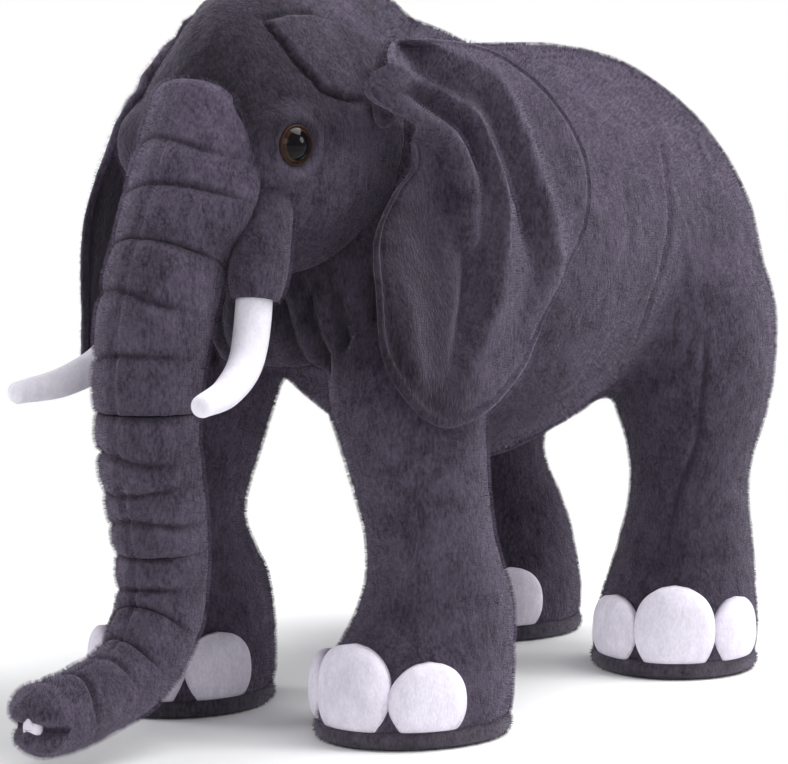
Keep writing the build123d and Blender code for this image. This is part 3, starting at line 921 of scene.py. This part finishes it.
def sole(name):
    centre, across, along = foot_frame(name)
    profile = [
        (0.0, -5.0), (0.3, -3.2), (1.2, -1.2), (3.0, 0.8), (5.5, 1.9),
        (8.0, 2.0), (10.5, 1.2), (12.4, -0.6), (13.2, -3.0),
    ]
    rings = [
        section_ring(centre + Z * z, across, along, FOOT_HALF_W + g, FOOT_HALF_L + g, 96) for z, g in profile
    ]
    piece = ring_object(f"sole_{name}", np.array(rings))
    finish_piece(piece, "body", SOLE_CLOTH, [f"sole_pad_{name}"])


def nails(name):
    """Three padded half discs round the toe, sitting on the foot's skin."""
    centre, across, along = foot_frame(name)
    pieces = []
    for angle, half_w, tall in NAILS:
        u = np.linspace(-1, 1, 41)
        v = np.linspace(0, 1, 31)
        points, faces = [], []
        for vv in v:
            if vv > 0.42:
                reach = half_w * max(0.0, 1 - ((vv - 0.42) / 0.58) ** 2.4) ** 0.5
            else:
                reach = half_w * (1 - 0.30 * ((0.42 - vv) / 0.42) ** 2.2)
            for uu in u:
                a = math.radians(angle) + uu * reach / 65.0
                d = math.sin(a) * across - math.cos(a) * along
                over_w, over_l = math.sin(a) / (FOOT_HALF_W + 1), math.cos(a) / (FOOT_HALF_L + 2)
                w = 1 / math.sqrt(over_w ** 2 + over_l ** 2)
                height = SOLE_TOP - 1.0 + vv * tall
                lean = -0.0022 * max(0, height - 26) ** 2
                bulge = max(0.0, 1 - abs(uu) ** 2.6) ** 0.55 * max(0.0, 1 - abs(2 * vv - 1) ** 3.2) ** 0.6
                points.append(centre + Z * height + d * (w + lean + NAIL_PROUD * bulge - 2.5))
        m = len(u)
        n = len(points)
        back = [p - (p - centre) * np.array([0.12, 0.12, 0]) for p in points]
        for i in range(len(v) - 1):
            for j in range(m - 1):
                a = i * m + j
                faces.append((a, a + 1, a + m + 1, a + m))
                faces.append((n + a, n + a + m, n + a + m + 1, n + a + 1))
        ring = [j for j in range(m)] + [i * m + m - 1 for i in range(1, len(v))]
        ring += [(len(v) - 1) * m + j for j in range(m - 2, -1, -1)]
        ring += [i * m for i in range(len(v) - 2, 0, -1)]
        for a, b in zip(ring, ring[1:] + ring[:1]):
            faces.append((a, n + a, n + b, b))
        pieces.append((np.array(points + back), faces))
    base, points, faces = 0, [], []
    for p, f in pieces:
        points.append(p)
        faces += [tuple(base + v for v in face) for face in f]
        base += len(p)
    piece = mesh_object(f"nails_{name}", np.vstack(points), faces)
    work = bmesh.new()
    work.from_mesh(piece.data)
    bmesh.ops.remove_doubles(work, verts=work.verts, dist=0.00005)
    bmesh.ops.recalc_face_normals(work, faces=work.faces)
    work.to_mesh(piece.data)
    work.free()
    finish_piece(piece, "body", NAIL_WHITE, [f"toenails_{name}"])


for foot_name in FEET:
    sole(foot_name)
    nails(foot_name)

# ---- eyes ---------------------------------------------------------------------------------------
PUPIL = plain("pupil", (0.004, 0.003, 0.004), 0.06, grain=60.0)
IRIS = plain("iris", (0.030, 0.014, 0.008), 0.10, grain=700.0, depth=0.5)
RIM = plain("eye_rim", (0.030, 0.013, 0.008), 0.6, grain=400.0, depth=0.2)
EYE_GLOSS = 0.14
for shiny in (PUPIL, IRIS, RIM):
    shiny.node_tree.nodes["Principled BSDF"].inputs["Specular IOR Level"].default_value = EYE_GLOSS


def turned(name, profile, sign, around=64):
    """A shape of revolution about the eye's own axis from (radius, height) pairs."""
    out = EYE_OUT
    side = np.array([math.cos(EYE_TURN), math.sin(EYE_TURN), 0.0])
    rings = [section_ring(EYE_AT + out * h, side, Z, r, r, around) for r, h in profile]
    rings = np.array(rings) * np.array([sign, 1, 1])
    return ring_object(name, rings)


def dome(radius, height, start, stop, steps=20):
    big = (radius ** 2 + height ** 2) / (2 * height)
    rows = []
    for r in np.linspace(stop, start, steps):
        rows.append((r, math.sqrt(max(0, big ** 2 - r ** 2)) - (big - height)))
    return rows


EYE_R, EYE_DOME, PUPIL_R, PUPIL_PROUD = 12.5, 6.2, 10.0, 0.12
for side, sign in (("left", 1), ("right", -1)):
    ball_rows = [(12.4, -5.0)] + dome(EYE_R, EYE_DOME, 0.3, 12.4)
    piece = turned(f"eye_iris_{side}", ball_rows, sign)
    finish_piece(piece, "body", IRIS, [f"eye_{side}"])
    pupil_rows = [(PUPIL_R, 1.0)]
    pupil_rows += [(r, h + PUPIL_PROUD) for r, h in dome(EYE_R, EYE_DOME, 0.3, PUPIL_R)]
    piece = turned(f"eye_pupil_{side}", pupil_rows, sign)
    finish_piece(piece, "body", PUPIL, [])
    rim_rows = [
        (12.9, -4.0), (13.4, -1.5), (13.5, 0.2), (13.2, 1.0),
        (12.6, 1.3), (12.1, 1.0), (11.8, 0.0), (11.8, -4.0),
    ]
    piece = turned(f"eye_rim_{side}", rim_rows, sign)
    finish_piece(piece, "body", RIM, [])

# ---- nostril, tail ------------------------------------------------------------------------------
a = np.linspace(0.02, math.pi - 0.02, 24)
rows = np.c_[np.zeros(24), -374.5 - 5.0 * np.cos(a), np.full(24, 34.0)]
piece = tube("nostril_pad", rows, 7.0 * np.sin(a) + 0.2, 40, 1.5)
finish_piece(piece, "trunk_tip", TUSK_WHITE, ["nostril_lining"])

# x, y, z and radius
TAIL = [(0, 342, 402, 8.5), (0, 352, 393, 9.5), (0, 373, 352, 9), (0, 384, 305, 8), (0, 386, 246, 7.5)]
TUFT = [
    (0, 386, 250, 7.5), (0, 386, 240, 9), (0, 386, 224, 12),
    (0, 385, 205, 11), (0, 384, 190, 7), (0, 384, 184, 2),
]
for name, rows, nodes in (("tail_plush", TAIL, ["tail"]), ("tail_tuft_plush", TUFT, ["tail_tuft"])):
    rows = polyline(rows, 60)
    piece = tube(name, rows[:, :3], rows[:, 3], 56)
    co, no = read(piece)
    co = pile_lumps(co, no, 0.6)
    write(piece, co)
    finish_piece(piece, "tail", GREY, nodes)

# ---- kept CAD parts -----------------------------------------------------------------------------
STEEL = plain("steel", (0.55, 0.55, 0.56), 0.35, metallic=1.0)
CARD = plain("board", (0.45, 0.36, 0.26), 0.9, grain=150.0, depth=0.15)
NYLON = plain("washer", (0.75, 0.75, 0.74), 0.5)
for key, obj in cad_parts.items():
    material = {"wire": STEEL, "sole": CARD, "eye_": NYLON}.get(key[:4])
    if material and ("board" in key or "washer" in key or "wire" in key):
        obj.data.materials.clear()
        obj.data.materials.append(material)

# ---- stage --------------------------------------------------------------------------------------
floor_mesh = bpy.data.meshes.new("floor")
FLOOR_HALF, FLOOR_Z = 6, -0.0005
corners = [(x * FLOOR_HALF, y * FLOOR_HALF, FLOOR_Z) for x, y in ((-1, -1), (1, -1), (1, 1), (-1, 1))]
floor_mesh.from_pydata(corners, [], [(0, 1, 2, 3)])
floor = link("floor", floor_mesh)
floor_mat = bpy.data.materials.new("floor")
floor_mat.use_nodes = True
ft = floor_mat.node_tree
paint = ft.nodes["Principled BSDF"]
paint.inputs["Base Color"].default_value = (0.96, 0.96, 0.96, 1)
paint.inputs["Roughness"].default_value = 0.9
where = node(ft, "ShaderNodeTexCoord")
reach_out = node(ft, "ShaderNodeVectorMath", operation="LENGTH")
ft.links.new(where.outputs["Object"], reach_out.inputs[0])
fade = node(ft, "ShaderNodeMapRange")
for key, value in (("From Min", 0.45), ("From Max", 1.0)):
    fade.inputs[key].default_value = value
ft.links.new(reach_out.outputs["Value"], fade.inputs["Value"])
lit = node(ft, "ShaderNodeEmission")
lit.inputs["Strength"].default_value = 1.0
mixed = node(ft, "ShaderNodeMixShader")
ft.links.new(fade.outputs["Result"], mixed.inputs[0])
ft.links.new(paint.outputs[0], mixed.inputs[1])
ft.links.new(lit.outputs[0], mixed.inputs[2])
ft.links.new(mixed.outputs[0], ft.nodes["Material Output"].inputs["Surface"])
floor_mesh.materials.append(floor_mat)

world = bpy.data.worlds.new("studio")
bpy.context.scene.world = world
world.use_nodes = True
wt = world.node_tree
seen = wt.nodes["Background"]
seen.inputs["Color"].default_value = (1.0, 1.0, 1.0, 1)
seen.inputs["Strength"].default_value = 1.0
glow = wt.nodes.new("ShaderNodeBackground")
glow.inputs["Color"].default_value = (0.96, 0.97, 1.0, 1)
glow.inputs["Strength"].default_value = 0.42
kind = wt.nodes.new("ShaderNodeLightPath")
either = wt.nodes.new("ShaderNodeMixShader")
wt.links.new(kind.outputs["Is Camera Ray"], either.inputs[0])
wt.links.new(glow.outputs[0], either.inputs[1])
wt.links.new(seen.outputs[0], either.inputs[2])
wt.links.new(either.outputs[0], wt.nodes["World Output"].inputs["Surface"])


def area_light(name, place, aim, size, power, colour=(1, 1, 1)):
    data = bpy.data.lights.new(name, "AREA")
    data.shape = "DISK"
    data.size = size
    data.energy = power
    data.color = colour
    obj = bpy.data.objects.new(name, data)
    bpy.context.scene.collection.objects.link(obj)
    obj.location = place
    way = Vector(aim) - Vector(place)
    obj.rotation_euler = way.to_track_quat("-Z", "Y").to_euler()
    return obj


area_light("top", (0.9, 0.9, 2.8), (0, 0, 0.2), 2.6, 110)
area_light("rim_right", (2.6, 1.2, 1.4), (0, 0.1, 0.25), 1.2, 26)
area_light("rim_left", (-2.4, -0.9, 1.3), (0, -0.2, 0.25), 1.2, 26)
area_light("front", (1.4, -2.8, 1.5), (0, -0.1, 0.25), 1.6, 16)

camera_data = bpy.data.cameras.new("camera")
camera_data.sensor_width = 36.0
camera_data.lens = 160.4
camera = bpy.data.objects.new("camera", camera_data)
bpy.context.scene.collection.objects.link(camera)
azimuth, elevation, reach = math.radians(36), math.radians(5.2), 2.6
target = Vector((-0.0536, 0.0865, 0.216))
level = math.cos(elevation)
back = Vector((math.sin(azimuth) * level, -math.cos(azimuth) * level, math.sin(elevation)))
camera.location = target + back * reach
camera.rotation_euler = (-back).to_track_quat("-Z", "Y").to_euler()
camera_data.clip_end = 50
bpy.context.scene.camera = camera
bpy.context.scene.view_settings.view_transform = "Standard"
